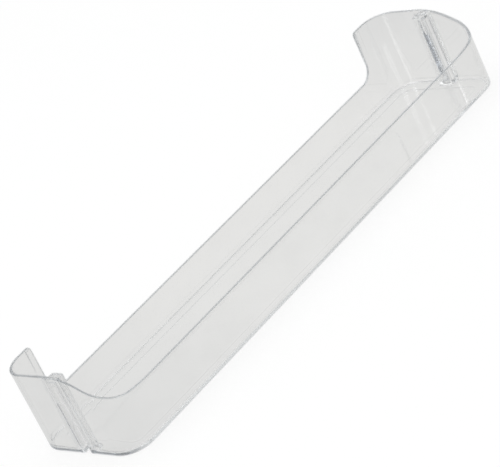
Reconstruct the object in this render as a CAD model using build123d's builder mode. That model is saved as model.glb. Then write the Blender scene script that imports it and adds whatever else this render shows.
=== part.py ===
from build123d import *
from math import acos, degrees, sin, sqrt
import os

# A clear door shelf for a refrigerator, moulded in one piece. X runs along the shelf, -Y is the front,
# which faces the room, and +Z is up. The origin is on the resting plane, under the middle of the shelf.

# Tub, outside sizes
length = 470.0
depth = 98.0
corner_radius = 20.0
wall = 2.0
bottom_radius = 2.5
floor_radius = 3.0

# Rim heights above the resting plane, and the bevel that breaks the rim's edges
ear_height = 65.0
front_height = 40.0
back_height = 25.0
rim_bevel = 0.5

# Ears, the tall ends of the back wall
ear_width = 32.0
ear_foot_radius = 12.0
ear_tip_radius = 3.0

# Thickened strip down each ear's free edge, which thins out to nothing at its foot
strip_margin = 1.2
strip_width = 4.4
strip_thickness = 0.9
strip_length = 24.0

# Fall of the rim from behind the lug round the front corner, two arcs drawn across the corner's diagonal
fall_lead = 6.0
fall_top_radius = 31.5
fall_foot_radius = 68.5

# Channel in each end wall, which slides down over a lug on the door
lug_from_back = 50.0
lug_slot_width = 8.4
lug_slot_height = 43.5
channel_depth = 9.8
channel_drop = 3.0
channel_corner_radius = 3.0
channel_foot_radius = 3.6
channel_top_round = 1.0

# Shallow panel sunk in the underside, which leaves a band round it to stand on
panel_side_inset = 12.5
panel_end_inset = 15.0
panel_depth = 0.6
panel_corner_radius = 7.0

# How far a cutting shape runs past what it cuts
overrun = 10.0

# Sizes that follow from these
half_length = length / 2
half_depth = depth / 2
ear_edge = half_length - ear_width
lug_place = half_depth - lug_from_back
channel_width = lug_slot_width + 2 * wall
channel_height = ear_height - channel_drop
channel_reach = channel_width / 2 + channel_foot_radius
channel_span = (lug_place - channel_reach, lug_place + channel_reach)
cavity_depth = channel_depth - wall
cavity_height = channel_height - wall
strip_top = ear_height - strip_margin
across_wall = wall * sqrt(2)

# The rim's fall, as places along the diagonal through the outline's sharp corner, end wall positive
fall_radii = fall_top_radius + fall_foot_radius
fall_turn = acos(1 - (ear_height - front_height) / fall_radii)
fall_top = (half_depth + lug_place + fall_lead) / sqrt(2)
fall_foot = fall_top - fall_radii * sin(fall_turn)
fall_reach = max(fall_top, overrun - fall_foot) + overrun
front_run = half_length + (fall_foot - overrun / 2) * sqrt(2)

# The two ends: which way X points there, and how a shape is aligned that grows inwards from it
ends = ((-1, Align.MIN), (1, Align.MAX))


def runs_along_rim(edge: Edge) -> bool:
    """True for the edges that follow the wall's top, but not across it or round a channel."""
    spot = edge.center()
    on_channel = abs(spot.Y - lug_place) < channel_reach and spot.Z < channel_height + rim_bevel
    return edge.length > across_wall + rim_bevel / 2 and not on_channel


# The hollow of the tub, with the two channels left standing in it
with BuildPart() as hollow:
    with BuildSketch(Plane.XY.offset(wall)):
        RectangleRounded(length - 2 * wall, depth - 2 * wall, corner_radius - wall)
    extrude(amount=ear_height)
    with BuildSketch(Plane.XY.offset(wall)):
        for side, inwards in ends:
            with Locations((side * half_length, lug_place)):
                Rectangle(channel_depth, channel_width, align=(inwards, Align.CENTER))
    extrude(amount=channel_height - wall, mode=Mode.SUBTRACT)

    # Each channel's free corners, its top and then the corners where it meets the end wall
    uprights = hollow.edges().filter_by(Axis.Z).filter_by_position(Axis.Y, *channel_span)
    fillet(uprights.group_by(Axis.X)[1] + uprights.group_by(Axis.X)[-2], channel_corner_radius)
    tops = hollow.edges().filter_by_position(Axis.Z, channel_height, channel_height)
    fillet(
        tops.filter_by_position(Axis.X, wall - half_length, half_length - wall, inclusive=(False, False)),
        channel_top_round,
    )
    uprights = hollow.edges().filter_by(Axis.Z).filter_by_position(Axis.Y, *channel_span)
    fillet(uprights.group_by(Axis.X)[0] + uprights.group_by(Axis.X)[-1], channel_foot_radius)
    fillet(hollow.faces().sort_by(Axis.Z)[0].edges(), floor_radius)

# What comes off above the front: the rim falls round each corner, and the channels stay whole
with BuildPart() as rim_fall:
    for side, _ in ends:
        corner = (side * half_length, -half_depth, 0)
        with BuildSketch(Plane(corner, x_dir=(side, 1, 0), z_dir=(1, -side, 0))):
            with BuildLine():
                top = CenterArc(
                    (fall_top, ear_height - fall_top_radius), fall_top_radius, 90, degrees(fall_turn)
                )
                foot = CenterArc(
                    (fall_foot, front_height + fall_foot_radius), fall_foot_radius, 270, degrees(fall_turn)
                )
                Polyline(
                    foot @ 0,
                    (fall_foot - overrun, front_height),
                    (fall_foot - overrun, ear_height + overrun),
                    (fall_top, ear_height + overrun),
                    top @ 0,
                )
            make_face()
        extrude(amount=fall_reach, both=True)
    with BuildSketch(Plane.XZ.offset(half_depth - corner_radius)):
        with Locations((0, front_height)):
            Rectangle(2 * front_run, ear_height, align=(Align.CENTER, Align.MIN))
    extrude(amount=corner_radius + overrun)
    with BuildSketch():
        for side, inwards in ends:
            with Locations((side * (half_length - 2 * wall), lug_place)):
                Rectangle(channel_depth, channel_width, align=(inwards, Align.CENTER))
    extrude(amount=ear_height + overrun, mode=Mode.SUBTRACT)

# The moulding
with BuildPart() as door_shelf:
    with BuildSketch():
        RectangleRounded(length, depth, corner_radius)
    extrude(amount=ear_height)
    fillet(door_shelf.faces().sort_by(Axis.Z)[0].edges(), bottom_radius)
    add(hollow.part, mode=Mode.SUBTRACT)

    # The back wall is low between the ears
    with BuildSketch(Plane.XZ.offset(-half_depth - overrun)) as back_opening:
        with Locations((0, back_height)):
            Rectangle(2 * ear_edge, ear_height, align=(Align.CENTER, Align.MIN))
        fillet(back_opening.vertices().group_by(Axis.Z)[0], ear_foot_radius)
    extrude(amount=corner_radius + overrun, mode=Mode.SUBTRACT)
    tips = door_shelf.edges().filter_by(Axis.Y).filter_by_position(Axis.X, -ear_edge, ear_edge)
    fillet(tips.group_by(Axis.Z)[-1], ear_tip_radius)

    # The rim falls round each front corner to the front wall
    add(rim_fall.part, mode=Mode.SUBTRACT)

    # The rim's edges are broken, inside and outside
    high_edges = door_shelf.edges().filter_by_position(Axis.Z, floor_radius + 2 * wall, ear_height)
    free_edges = high_edges.filter_by(Axis.Z).filter_by_position(Axis.X, -ear_edge, ear_edge)
    rim_edges = high_edges.filter_by(Axis.Z, reverse=True).filter_by(runs_along_rim)
    chamfer(free_edges + rim_edges, rim_bevel)

    # Strips on the inner face of the ears, wedges that are thickest at the top
    for side, _ in ends:
        with BuildSketch(Plane.YZ.offset(side * (ear_edge + strip_margin + strip_width / 2))):
            with BuildLine():
                Polyline(
                    (half_depth - wall / 2, strip_top),
                    (half_depth - wall - strip_thickness, strip_top),
                    (half_depth - wall, strip_top - strip_length),
                    (half_depth - wall / 2, strip_top - strip_length),
                    close=True,
                )
            make_face()
        extrude(amount=strip_width / 2, both=True)

    # Each channel is open below and, up to the top of the lug, through the end wall
    for side, inwards in ends:
        with BuildSketch() as cavity:
            with Locations((side * (half_length - wall), lug_place)):
                Rectangle(cavity_depth - wall, lug_slot_width, align=(inwards, Align.CENTER))
            fillet(cavity.vertices().sort_by_distance((0, 0))[:2], channel_corner_radius - wall)
        extrude(amount=cavity_height, mode=Mode.SUBTRACT)
        with BuildSketch():
            with Locations((side * half_length, lug_place)):
                Rectangle(2 * wall, lug_slot_width)
        extrude(amount=lug_slot_height, mode=Mode.SUBTRACT)

    # Panel in the underside
    with BuildSketch():
        RectangleRounded(
            length - 2 * panel_end_inset, depth - 2 * panel_side_inset, panel_corner_radius
        )
    extrude(amount=panel_depth, mode=Mode.SUBTRACT)

os.makedirs("parts", exist_ok=True)
door_shelf.part.label = "door_shelf"
export_step(door_shelf.part, "parts/door_shelf.step")
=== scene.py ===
import logging
from dataclasses import dataclass, field
from enum import Enum
from math import cos, hypot, pi, radians, sin
from typing import Any, Iterable, List, Mapping, Optional, Sequence, Tuple, Union

import bpy
from mathutils import Matrix, Vector


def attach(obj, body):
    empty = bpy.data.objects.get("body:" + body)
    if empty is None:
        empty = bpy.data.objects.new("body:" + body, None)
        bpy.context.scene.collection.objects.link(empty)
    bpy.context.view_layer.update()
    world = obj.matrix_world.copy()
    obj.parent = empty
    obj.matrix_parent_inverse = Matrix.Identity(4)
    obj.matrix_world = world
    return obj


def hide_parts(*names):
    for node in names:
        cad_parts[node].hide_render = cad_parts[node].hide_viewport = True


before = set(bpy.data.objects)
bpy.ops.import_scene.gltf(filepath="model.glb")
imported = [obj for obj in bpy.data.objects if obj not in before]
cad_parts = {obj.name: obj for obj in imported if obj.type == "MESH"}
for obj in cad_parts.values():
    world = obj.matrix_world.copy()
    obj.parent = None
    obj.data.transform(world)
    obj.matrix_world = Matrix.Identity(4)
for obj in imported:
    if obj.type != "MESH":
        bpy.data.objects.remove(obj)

# A clear door shelf for a refrigerator, shown on a white sheet. Lengths are in metres, in the CAD's own
# frame: X runs along the shelf, -Y is the front and +Z is up.

Colour = Tuple[float, float, float]
Triple = Tuple[float, float, float]
Span = Tuple[float, float]

WHITE: Colour = (1.0, 1.0, 1.0)

# Number of the corner of a bounding box that has the highest coordinates
FAR_CORNER = 6

log = logging.getLogger("door_shelf")


def opaque(colour: Colour) -> Tuple[float, float, float, float]:
    """A colour with the full alpha that sockets and stops take."""
    return (*colour, 1.0)


class Maths(Enum):
    """Sums on single values, by the name that a Math node has for them."""

    ADD = "ADD"
    MULTIPLY = "MULTIPLY"
    DIVIDE = "DIVIDE"


class Ray(Enum):
    """Kinds of ray that the stage answers to, by the Light Path node's own names."""

    CAMERA = "Is Camera Ray"
    GLOSSY = "Is Glossy Ray"
    TRANSMISSION = "Is Transmission Ray"


class Say(Enum):
    """How much say a face has over the shading at its edges, by the modifier's own names."""

    FLAT = "STRONG"
    UPRIGHT = "MEDIUM"
    BENT = "WEAK"


class Wire:
    """One value in a node tree. Sums written with it add the Math nodes that work them out."""

    def __init__(self, tree: "Nodes", socket: bpy.types.NodeSocket) -> None:
        """Keeps the tree that the value belongs to, and its socket."""
        self.tree = tree
        self.socket = socket

    def _sum(self, kind: Maths, left: "Value", right: "Value") -> "Wire":
        """Adds one Math node.

        Args:
            kind: the sum that it does.
            left: its first value.
            right: its second value.

        Returns:
            The node's result.
        """
        return self.tree.add("ShaderNodeMath", {"operation": kind.value}, {0: left, 1: right})

    def __add__(self, other: "Value") -> "Wire":
        """This value plus another."""
        return self._sum(Maths.ADD, self, other)

    def __radd__(self, other: "Value") -> "Wire":
        """Another value plus this one."""
        return self._sum(Maths.ADD, other, self)

    def __mul__(self, other: "Value") -> "Wire":
        """This value times another."""
        return self._sum(Maths.MULTIPLY, self, other)

    def __rmul__(self, other: "Value") -> "Wire":
        """Another value times this one."""
        return self._sum(Maths.MULTIPLY, other, self)

    def __truediv__(self, other: "Value") -> "Wire":
        """This value over another."""
        return self._sum(Maths.DIVIDE, self, other)

    def __rtruediv__(self, other: "Value") -> "Wire":
        """Another value over this one."""
        return self._sum(Maths.DIVIDE, other, self)


Value = Union[Wire, float, int, Sequence[float]]
Key = Union[str, int]


class Nodes:
    """A node tree that is filled from an empty start."""

    # Numbers of a Mix node's colour sockets, because their names occur more than once
    MIX_FIRST = 6
    MIX_SECOND = 7
    MIX_RESULT = 2

    def __init__(self, tree: bpy.types.NodeTree) -> None:
        """Empties the tree."""
        self.tree = tree
        tree.nodes.clear()

    def add(
        self,
        kind: str,
        settings: Optional[Mapping[str, Any]] = None,
        sockets: Optional[Mapping[Key, Value]] = None,
        output: Key = 0,
    ) -> Wire:
        """Adds a node that hands a value on.

        Args:
            kind: the node's type.
            settings: its own settings, set first. For a ramp, "stops" holds pairs of place and colour.
            sockets: the values or links of its inputs, by name or number.
            output: the output that is handed back.

        Returns:
            That output.
        """
        node = self.tree.nodes.new(kind)
        for name, value in (settings or {}).items():
            if name == "stops":
                self._set_stops(node.color_ramp, value)
            else:
                setattr(node, name, value)
        self._fill(node, sockets or {})
        return Wire(self, node.outputs[output])

    def close(self, kind: str, sockets: Mapping[Key, Value]) -> None:
        """Adds the tree's last node, which hands nothing on."""
        self._fill(self.tree.nodes.new(kind), sockets)

    def _fill(self, node: bpy.types.Node, sockets: Mapping[Key, Value]) -> None:
        """Gives a node its inputs.

        Args:
            node: the node.
            sockets: the values or links of its inputs, by name or number.
        """
        for key, value in sockets.items():
            if isinstance(value, Wire):
                self.tree.links.new(value.socket, node.inputs[key])
            else:
                node.inputs[key].default_value = value

    @staticmethod
    def _set_stops(ramp: bpy.types.ColorRamp, stops: Iterable[Tuple[float, Colour]]) -> None:
        """Gives a ramp its stops.

        Args:
            ramp: the ramp, which starts with two stops.
            stops: pairs of place and colour, from the low end up.
        """
        while len(ramp.elements) > 1:
            ramp.elements.remove(ramp.elements[-1])
        for number, (place, colour) in enumerate(stops):
            stop = ramp.elements[0] if number == 0 else ramp.elements.new(place)
            stop.position = place
            stop.color = opaque(colour)

    def blend(self, share: Value, first: Value, second: Value) -> Wire:
        """Mixes two colours.

        Args:
            share: how much of the second there is, from 0 to 1.
            first: the colour at 0.
            second: the colour at 1.

        Returns:
            The mixed colour.
        """
        return self.add(
            "ShaderNodeMix",
            {"data_type": "RGBA", "clamp_factor": True},
            {"Factor": share, self.MIX_FIRST: first, self.MIX_SECOND: second},
            output=self.MIX_RESULT,
        )

    def mix(self, share: Value, first: Wire, second: Wire) -> Wire:
        """Mixes two surfaces, with the second's share from 0 to 1."""
        return self.add("ShaderNodeMixShader", None, {0: share, 1: first, 2: second})

    def glow(self, colour: Value) -> Wire:
        """Adds a surface that shows a colour as it is."""
        return self.add("ShaderNodeEmission", None, {"Color": colour, "Strength": 1.0})

    def mapped(self, place: Wire, scale: Triple = (1.0, 1.0, 1.0), turn: Triple = (0.0, 0.0, 0.0)) -> Wire:
        """Turns and stretches a pattern's coordinates.

        Args:
            place: the coordinates.
            scale: how often the pattern repeats in a metre, along each axis.
            turn: its turn about each axis, in radians.

        Returns:
            The new coordinates.
        """
        return self.add("ShaderNodeMapping", None, {"Vector": place, "Rotation": turn, "Scale": scale})

    def noise(self, place: Wire, scale: float = 1.0, detail: float = 2.0) -> Wire:
        """Adds a cloudy pattern.

        Args:
            place: its coordinates.
            scale: how fine it is.
            detail: how many finer layers lie over it.

        Returns:
            The pattern, from 0 to 1.
        """
        sockets = {"Vector": place, "Scale": scale, "Detail": detail}
        return self.add("ShaderNodeTexNoise", {"noise_dimensions": "3D"}, sockets)

    def ramp(self, value: Wire, span: Span) -> Wire:
        """Stretches a range to run from 0 to 1 with soft ends.

        Args:
            value: what is stretched.
            span: the values that become 0 and 1.

        Returns:
            The stretched value, held between 0 and 1.
        """
        low, high = span
        return self.add(
            "ShaderNodeMapRange",
            {"interpolation_type": "SMOOTHSTEP", "clamp": True},
            {"Value": value, "From Min": low, "From Max": high},
        )


@dataclass(frozen=True)
class ClearPlastic:
    """Clear moulded plastic, glossy and a little marked.

    It has clouds of haze, hairline scratches, flow waves, dull edges darkened with painted shade and a blue
    depth.
    """

    name: str = "clear_moulded_plastic"
    index: float = 1.57
    gloss: float = 0.012

    # Clouds of haze
    clean: Colour = (0.994, 0.994, 0.992)
    cloudy: Colour = (0.976, 0.976, 0.974)
    haze: float = 0.03
    cloud_scale: float = 38.0
    cloud_detail: float = 3.0
    cloud_span: Span = (0.35, 0.75)

    # Scratches, which run three ways, and the patches that they gather in
    scratch_haze: float = 0.12
    scratch_turns: Triple = (0.35, 1.45, 2.5)
    scratch_scale: Triple = (26.0, 2600.0, 900.0)
    scratch_span: Span = (0.7, 0.78)
    patch_scale: float = 24.0
    patch_span: Span = (0.52, 0.7)

    # Waves, long ones along the shelf
    wave_height: float = 0.00002
    wave_scale: Triple = (12.0, 30.0, 30.0)

    # Dull edges, rougher and with a darker blue-grey colour that is painted shade, and the mark that says
    # where they are
    dull_and_shade_mark: str = "dull_edges_painted_shade"
    dull_and_painted_shade: Colour = (0.6, 0.625, 0.64)
    worn_haze: float = 0.3

    # Colour that light takes on inside the plastic, and how fast it does so
    depth_colour: Colour = (0.25, 0.42, 0.7)
    depth_density: float = 0.6

    def material(self) -> bpy.types.Material:
        """Makes the material.

        Returns:
            The material, with its surface and the colour of its depth.
        """
        made = bpy.data.materials.new(self.name)
        made.use_nodes = True
        nodes = Nodes(made.node_tree)
        place = nodes.add("ShaderNodeTexCoord", output="Object")
        cloud = nodes.ramp(nodes.noise(place, self.cloud_scale, self.cloud_detail), self.cloud_span)
        scratches = self._scratches(nodes, place)
        dull_and_painted_shade = nodes.add("ShaderNodeAttribute", {"attribute_name": self.dull_and_shade_mark}, output="Fac")
        body = nodes.blend(cloud, opaque(self.clean), opaque(self.cloudy))
        rough = self.gloss + self.haze * cloud + self.scratch_haze * scratches + self.worn_haze * dull_and_painted_shade
        surface = nodes.add(
            "ShaderNodeBsdfPrincipled",
            None,
            {
                # The edges' darker blue-grey colour is painted shade, standing in for the dark lines seen
                # along them; their extra roughness is real dullness
                "Base Color": nodes.blend(dull_and_painted_shade, body, opaque(self.dull_and_painted_shade)),
                "Roughness": rough,
                "IOR": self.index,
                "Transmission Weight": 1.0,
                "Normal": self._waves(nodes, place),
            },
        )
        depth = nodes.add(
            "ShaderNodeVolumeAbsorption",
            None,
            {"Color": opaque(self.depth_colour), "Density": self.depth_density},
        )
        nodes.close("ShaderNodeOutputMaterial", {"Surface": surface, "Volume": depth})
        return made

    def _scratches(self, nodes: Nodes, place: Wire) -> Wire:
        """Draws the hairline scratches of handling, all the ways that they run.

        Args:
            nodes: the material's nodes.
            place: the object's coordinates.

        Returns:
            How scratched each point is, from 0 up.
        """
        first, *others = [self._scratched_along(nodes, place, turn) for turn in self.scratch_turns]
        return sum(others, first)

    def _scratched_along(self, nodes: Nodes, place: Wire, turn: float) -> Wire:
        """Draws the scratches that run one way.

        Args:
            nodes: the material's nodes.
            place: the object's coordinates.
            turn: the way that they run, as a turn about the upright axis in radians.

        Returns:
            How scratched each point is, from 0 to 1.
        """
        lines = nodes.mapped(place, self.scratch_scale, (0.0, 0.0, turn))
        hair = nodes.ramp(nodes.noise(lines, detail=1.0), self.scratch_span)
        patches = nodes.mapped(place, turn=(turn, 0.0, 0.0))
        return hair * nodes.ramp(nodes.noise(patches, self.patch_scale), self.patch_span)

    def _waves(self, nodes: Nodes, place: Wire) -> Wire:
        """Ripples the surface as the plastic set while it flowed along the mould.

        Args:
            nodes: the material's nodes.
            place: the object's coordinates.

        Returns:
            The rippled normal.
        """
        broad = nodes.noise(nodes.mapped(place, self.wave_scale), detail=1.0)
        return nodes.add(
            "ShaderNodeBump", None, {"Strength": 1.0, "Distance": self.wave_height, "Height": broad}
        )


@dataclass(frozen=True)
class Sheet:
    """Finish of the white sheet under the shelf, and of what is seen of it through and in the plastic,
    where it glows with a painted light falloff.
    """

    name: str = "white_sheet"
    paper: Colour = (0.9, 0.905, 0.905)
    grain_scale: float = 900.0

    # Shares of plain white to the camera, which leaves a faint shadow, and of the painted light falloff
    # greys to the plastic
    seen: float = 0.86
    seen_inside: float = 0.9

    # The painted light falloff: greys that glow paler near the middle and darker further out, by how far a
    # spot is from the middle, as parts of the reach
    middle: Triple = (0.06, 0.05, 0.0)
    reach: float = 1.5
    places: Tuple[float, float, float, float] = (0.08, 0.19, 0.53, 1.0)
    near: Colour = (0.79, 0.788, 0.778)
    ends: Colour = (0.72, 0.722, 0.718)
    far: Colour = (0.46, 0.47, 0.48)
    dim: Colour = (0.36, 0.37, 0.38)

    def material(self) -> bpy.types.Material:
        """Makes the material.

        Returns:
            The material: white to the camera, apart from the shadow, and grey through the plastic, with a
                painted light falloff.
        """
        made = bpy.data.materials.new(self.name)
        made.use_nodes = True
        nodes = Nodes(made.node_tree)
        path = {ray: nodes.add("ShaderNodeLightPath", output=ray.value) for ray in Ray}
        place = nodes.add("ShaderNodeTexCoord", output="Object")
        grain = nodes.noise(place, self.grain_scale)
        colour = nodes.blend(grain, opaque(self.paper), opaque(WHITE))
        paper = nodes.add("ShaderNodeBsdfDiffuse", None, {"Color": colour})
        lit = nodes.mix(path[Ray.CAMERA] * self.seen, paper, nodes.glow(opaque(WHITE)))
        inside = path[Ray.GLOSSY] + path[Ray.TRANSMISSION]
        # Through and in the plastic the sheet glows with a painted light falloff instead of its lit colour
        look = nodes.mix(inside * self.seen_inside, lit, nodes.glow(self._painted_light_falloff(nodes, place)))
        nodes.close("ShaderNodeOutputMaterial", {"Surface": look})
        return made

    def _painted_light_falloff(self, nodes: Nodes, place: Wire) -> Wire:
        """Draws what the plastic shows of the sheet: a painted light falloff that glows paler near the
        middle and darker further out.

        Args:
            nodes: the material's nodes.
            place: the sheet's coordinates.

        Returns:
            The grey at each point.
        """
        sockets = {0: place, 1: self.middle}
        away = nodes.add("ShaderNodeVectorMath", {"operation": "DISTANCE"}, sockets, "Value")
        stops = tuple(zip(self.places, (self.near, self.ends, self.far, self.dim)))
        return nodes.add("ShaderNodeValToRGB", {"stops": stops}, {"Fac": away / self.reach})


@dataclass(frozen=True)
class Room:
    """The light all round: white to the camera, and to the plastic pale above and darker low down."""

    # The two tones, and the heights of a direction where the lower one ends and the upper one starts
    above: Colour = (0.78, 0.785, 0.78)
    low: Colour = (0.48, 0.492, 0.505)
    low_top: float = 0.1
    high_from: float = 0.45

    def build(self) -> None:
        """Sets up the world."""
        world = bpy.data.worlds.new("room")
        bpy.context.scene.world = world
        world.use_nodes = True
        nodes = Nodes(world.node_tree)
        way = nodes.add("ShaderNodeTexCoord", output="Generated")
        height = nodes.add("ShaderNodeSeparateXYZ", None, {0: way}, "Z")
        stops = ((0.0, self.low), (self.low_top, self.low), (self.high_from, self.above), (1.0, self.above))
        wall = nodes.add("ShaderNodeValToRGB", {"stops": stops}, {"Fac": height})
        camera = nodes.add("ShaderNodeLightPath", output=Ray.CAMERA.value)
        seen = nodes.blend(camera, wall, opaque(WHITE))
        light = nodes.add("ShaderNodeBackground", None, {"Color": seen, "Strength": 1.0})
        nodes.close("ShaderNodeOutputWorld", {"Surface": light})


@dataclass
class DoorShelf:
    """The shelf itself, one clear moulding."""

    node: str = "door_shelf"
    body: str = "root"
    slot: str = "clear_plastic"
    name: str = "clear_door_shelf"

    # How near points are welded, how level faces become one, and the sharpest edge that is shaded smooth
    weld: float = 0.00001
    level: float = radians(0.2)
    smooth_below: float = radians(50)

    # Dull edges, with painted shade in their colour: the tub's corner radius, its wall with a little to
    # spare, a height below the whole rim, a place past the ears' free edges, and how far a face leans at
    # least
    corner: float = 0.02
    wall: float = 0.0021
    rim_from: float = 0.02
    ear_inside: float = 0.21
    lean: float = 0.3

    # Dull corners in the channels, with painted shade in their colour: the channels' place, half their
    # width with the feet, where they begin, how far a face is turned from both walls, and how dull and
    # shaded it is
    channel_place: float = -0.001
    channel_half: float = 0.0105
    channel_from: float = 0.2245
    channel_turn: float = 0.15
    channel_dull_shade_share: float = 0.3

    finish: ClearPlastic = field(default_factory=ClearPlastic)

    def build(self) -> bpy.types.Object:
        """Makes the shelf from the CAD's shape, welded and with smooth curves, and dresses it.

        Returns:
            The finished piece.
        """
        bpy.ops.object.select_all(action="DESELECT")
        piece = bpy.data.objects.new(self.name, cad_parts[self.node].data.copy())
        bpy.context.scene.collection.objects.link(piece)
        bpy.context.view_layer.objects.active = piece
        piece.select_set(True)
        self._weld()
        self._rank_faces(piece)
        self._smooth(piece)
        self._mark_dull_and_painted_shade(piece)
        piece.data.materials.clear()
        piece.data.materials.append(self.finish.material())
        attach(piece, self.body)
        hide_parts(self.node)
        log.info("%s: %d faces", piece.name, len(piece.data.polygons))
        return piece

    def _weld(self) -> None:
        """Joins the active object's loose triangles where they meet, and level ones into whole faces."""
        bpy.ops.mesh.customdata_custom_splitnormals_clear()
        bpy.ops.object.mode_set(mode="EDIT")
        bpy.ops.mesh.select_all(action="SELECT")
        bpy.ops.mesh.remove_doubles(threshold=self.weld)
        bpy.ops.mesh.dissolve_limited(angle_limit=self.level, delimit={"NORMAL"})
        bpy.ops.mesh.select_all(action="DESELECT")
        bpy.ops.object.mode_set(mode="OBJECT")

    def _rank(self, normal: Vector) -> Say:
        """Gives a face its say over the shading at edges that it shares.

        Args:
            normal: the face's normal.

        Returns:
            The most for flat walls, less for upright curved ones and the least for bevels and bends.
        """
        if max(abs(part) for part in normal) > cos(self.level):
            return Say.FLAT
        return Say.UPRIGHT if abs(normal.z) < sin(self.level) else Say.BENT

    def _rank_faces(self, piece: bpy.types.Object) -> None:
        """Ranks the faces, so that a wall keeps its own normal up to the bevels and bends along it.

        Args:
            piece: the active object.
        """
        bpy.context.tool_settings.mesh_select_mode = (False, False, True)
        ranks = [self._rank(face.normal) for face in piece.data.polygons]
        for say in Say:
            piece.data.polygons.foreach_set("select", [rank is say for rank in ranks])
            bpy.ops.object.mode_set(mode="EDIT")
            bpy.ops.mesh.mod_weighted_strength(set=True, face_strength=say.value)
            bpy.ops.object.mode_set(mode="OBJECT")

    def _smooth(self, piece: bpy.types.Object) -> None:
        """Shades curves and the broken rim as round, with the flat faces left flat.

        Args:
            piece: the active object.
        """
        bpy.ops.object.shade_smooth_by_angle(angle=self.smooth_below)
        flat = piece.modifiers.new("flat_faces", "WEIGHTED_NORMAL")
        flat.mode = "CORNER_ANGLE"
        flat.use_face_influence = True
        flat.keep_sharp = True
        bpy.ops.object.modifier_apply(modifier=flat.name)

    def _in_wall(self, spot: Vector, reach: Vector) -> bool:
        """Tells whether a point lies within the wall's thickness, seen from above.

        Args:
            spot: the point.
            reach: how far the shelf reaches from the origin along each axis.

        Returns:
            True for the points of the rim, and False for those of the channels.
        """
        past = (max(abs(place) - end + self.corner, 0.0) for place, end in zip(spot.xy, reach.xy))
        return hypot(*past) > self.corner - self.wall

    def _in_channel_corner(self, face: bpy.types.MeshPolygon) -> bool:
        """Tells whether a face belongs to a channel's rounded corners or feet.

        Args:
            face: the face.

        Returns:
            True for upright faces at a channel that are turned away from both walls.
        """
        aside = abs(face.center.y - self.channel_place)
        turned = min(abs(face.normal.x), abs(face.normal.y)) > self.channel_turn
        upright = abs(face.normal.z) < self.lean
        return abs(face.center.x) > self.channel_from and aside < self.channel_half and turned and upright

    def _dullness_and_painted_shade(self, face: bpy.types.MeshPolygon, spots: Sequence[Vector], reach: Vector) -> float:
        """Tells how dull a face is, and how much painted shade darkens its colour.

        Args:
            face: the face.
            spots: the places of the mesh's points.
            reach: how far the shelf reaches from the origin along each axis.

        Returns:
            1 on the rim and the ears' free edges, less in the channels' corners and 0 elsewhere.
        """
        faces_up = face.normal.z > self.lean
        on_rim = faces_up and all(self._in_wall(spots[number], reach) for number in face.vertices)
        on_ear = abs(face.normal.x) > self.lean and abs(face.center.x) < self.ear_inside
        if face.center.z > self.rim_from and (on_rim or on_ear):
            return 1.0
        return self.channel_dull_shade_share if self._in_channel_corner(face) else 0.0

    def _mark_dull_and_painted_shade(self, piece: bpy.types.Object) -> None:
        """Marks each face with how dull it is and how much painted shade darkens its colour.

        Args:
            piece: the shelf.
        """
        reach = Vector(piece.bound_box[FAR_CORNER])
        spots = [vertex.co for vertex in piece.data.vertices]
        dull_and_painted_shade = [self._dullness_and_painted_shade(face, spots, reach) for face in piece.data.polygons]
        mark = piece.data.attributes.new(self.finish.dull_and_shade_mark, "FLOAT", "FACE")
        mark.data.foreach_set("value", dull_and_painted_shade)


@dataclass
class Lamp:
    """One soft box, turned to a point of the shelf."""

    name: str
    aim: Triple
    azimuth: float
    elevation: float
    width: float
    height: float
    radiance: float
    distance: float = 1.6

    def build(self) -> bpy.types.Object:
        """Adds the lamp.

        Returns:
            The lamp's object.
        """
        data = bpy.data.lights.new(self.name, "AREA")
        data.shape = "RECTANGLE"
        data.size = self.width
        data.size_y = self.height
        data.energy = self.radiance * pi * self.width * self.height
        lamp = bpy.data.objects.new(self.name, data)
        bpy.context.scene.collection.objects.link(lamp)
        flat = cos(self.elevation)
        way = Vector((-sin(self.azimuth) * flat, -cos(self.azimuth) * flat, sin(self.elevation)))
        lamp.location = Vector(self.aim) + self.distance * way
        lamp.rotation_euler = (-way).to_track_quat("-Z", "Y").to_euler()
        lamp.visible_camera = False
        return lamp


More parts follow.
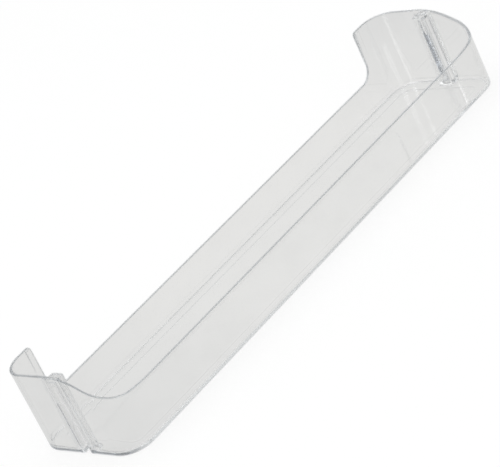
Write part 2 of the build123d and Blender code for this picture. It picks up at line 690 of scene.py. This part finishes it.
@dataclass
class Studio:
    """The sheet, the lamps and the camera."""

    # The sheet, which lies a hair below the shelf
    sheet_size: float = 14.0
    sheet_cells: int = 8
    sheet_drop: float = 0.0002

    # The back corner that the soft boxes light up, and the middle of the shelf
    corner: Triple = (0.22, 0.035, 0.04)
    middle: Triple = (0.0, 0.0, 0.0)

    # Bounces, many because the light passes wall after wall, and the width of a pixel's filter
    bounces: int = 128
    softness: float = 2.0

    # The camera, as fitted to the photograph
    azimuth: float = radians(40.32)
    elevation: float = radians(24.51)
    roll: float = radians(-25.85)
    distance: float = 1.72403
    aim_height: float = 0.0322
    aim_right: float = -0.01638
    aim_up: float = -0.00623
    focal_pixels: float = 2380.79
    picture_width: float = 500.0
    sensor: float = 36.0

    sheet: Sheet = field(default_factory=Sheet)
    room: Room = field(default_factory=Room)

    def build(self) -> None:
        """Sets the stage, the light and the camera."""
        self.room.build()
        self._lay_sheet()
        for lamp in self._lamps():
            lamp.build()
            log.info("lamp %s", lamp.name)
        self._place_camera()
        scene = bpy.context.scene
        scene.view_settings.view_transform = "Standard"
        scene.cycles.max_bounces = self.bounces
        scene.cycles.transmission_bounces = self.bounces
        scene.cycles.glossy_bounces = self.bounces
        scene.cycles.filter_width = self.softness

    def _lamps(self) -> Tuple[Lamp, ...]:
        """Lists the lamps.

        Returns:
            The two soft boxes beside the camera and the broad one overhead.
        """
        return (
            Lamp(
                name="soft_box_front",
                aim=self.corner,
                azimuth=radians(27),
                elevation=radians(22),
                width=0.6,
                height=0.7,
                radiance=2.0,
            ),
            Lamp(
                name="soft_box_left",
                aim=self.corner,
                azimuth=radians(83),
                elevation=radians(22),
                width=0.36,
                height=0.7,
                radiance=2.6,
            ),
            Lamp(
                name="overhead",
                aim=self.middle,
                azimuth=radians(200),
                elevation=radians(70),
                width=1.2,
                height=1.2,
                radiance=1.5,
            ),
        )

    def _lay_sheet(self) -> None:
        """Lays the sheet that the shelf stands on."""
        bpy.ops.object.select_all(action="DESELECT")
        bpy.ops.mesh.primitive_grid_add(
            x_subdivisions=self.sheet_cells,
            y_subdivisions=self.sheet_cells,
            size=self.sheet_size,
            location=(0.0, 0.0, -self.sheet_drop),
        )
        ground = bpy.context.object
        ground.name = "white_sheet"
        bpy.ops.object.transform_apply(location=True, rotation=True, scale=True)
        ground.data.materials.append(self.sheet.material())
        log.info("sheet laid")

    def _place_camera(self) -> None:
        """Puts the camera where the photograph was taken from."""
        flat = cos(self.elevation)
        ahead = Vector((sin(self.azimuth) * flat, cos(self.azimuth) * flat, -sin(self.elevation)))
        level = Vector((cos(self.azimuth), -sin(self.azimuth), 0.0))
        upright = level.cross(ahead)
        right = cos(self.roll) * level + sin(self.roll) * upright
        up = cos(self.roll) * upright - sin(self.roll) * level
        aim = Vector((0.0, 0.0, self.aim_height)) + self.aim_right * level + self.aim_up * upright
        data = bpy.data.cameras.new("camera")
        data.sensor_width = self.sensor
        data.lens = self.focal_pixels * self.sensor / self.picture_width
        camera = bpy.data.objects.new("camera", data)
        bpy.context.scene.collection.objects.link(camera)
        turn = Matrix((right, up, -ahead)).transposed().to_4x4()
        camera.matrix_world = Matrix.Translation(aim - self.distance * ahead) @ turn
        bpy.context.scene.camera = camera


def main() -> None:
    """Builds the shelf and its stage."""
    logging.basicConfig(level=logging.INFO, format="%(message)s")
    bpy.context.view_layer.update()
    Studio().build()
    DoorShelf().build()


if __name__ == "__main__":
    main()
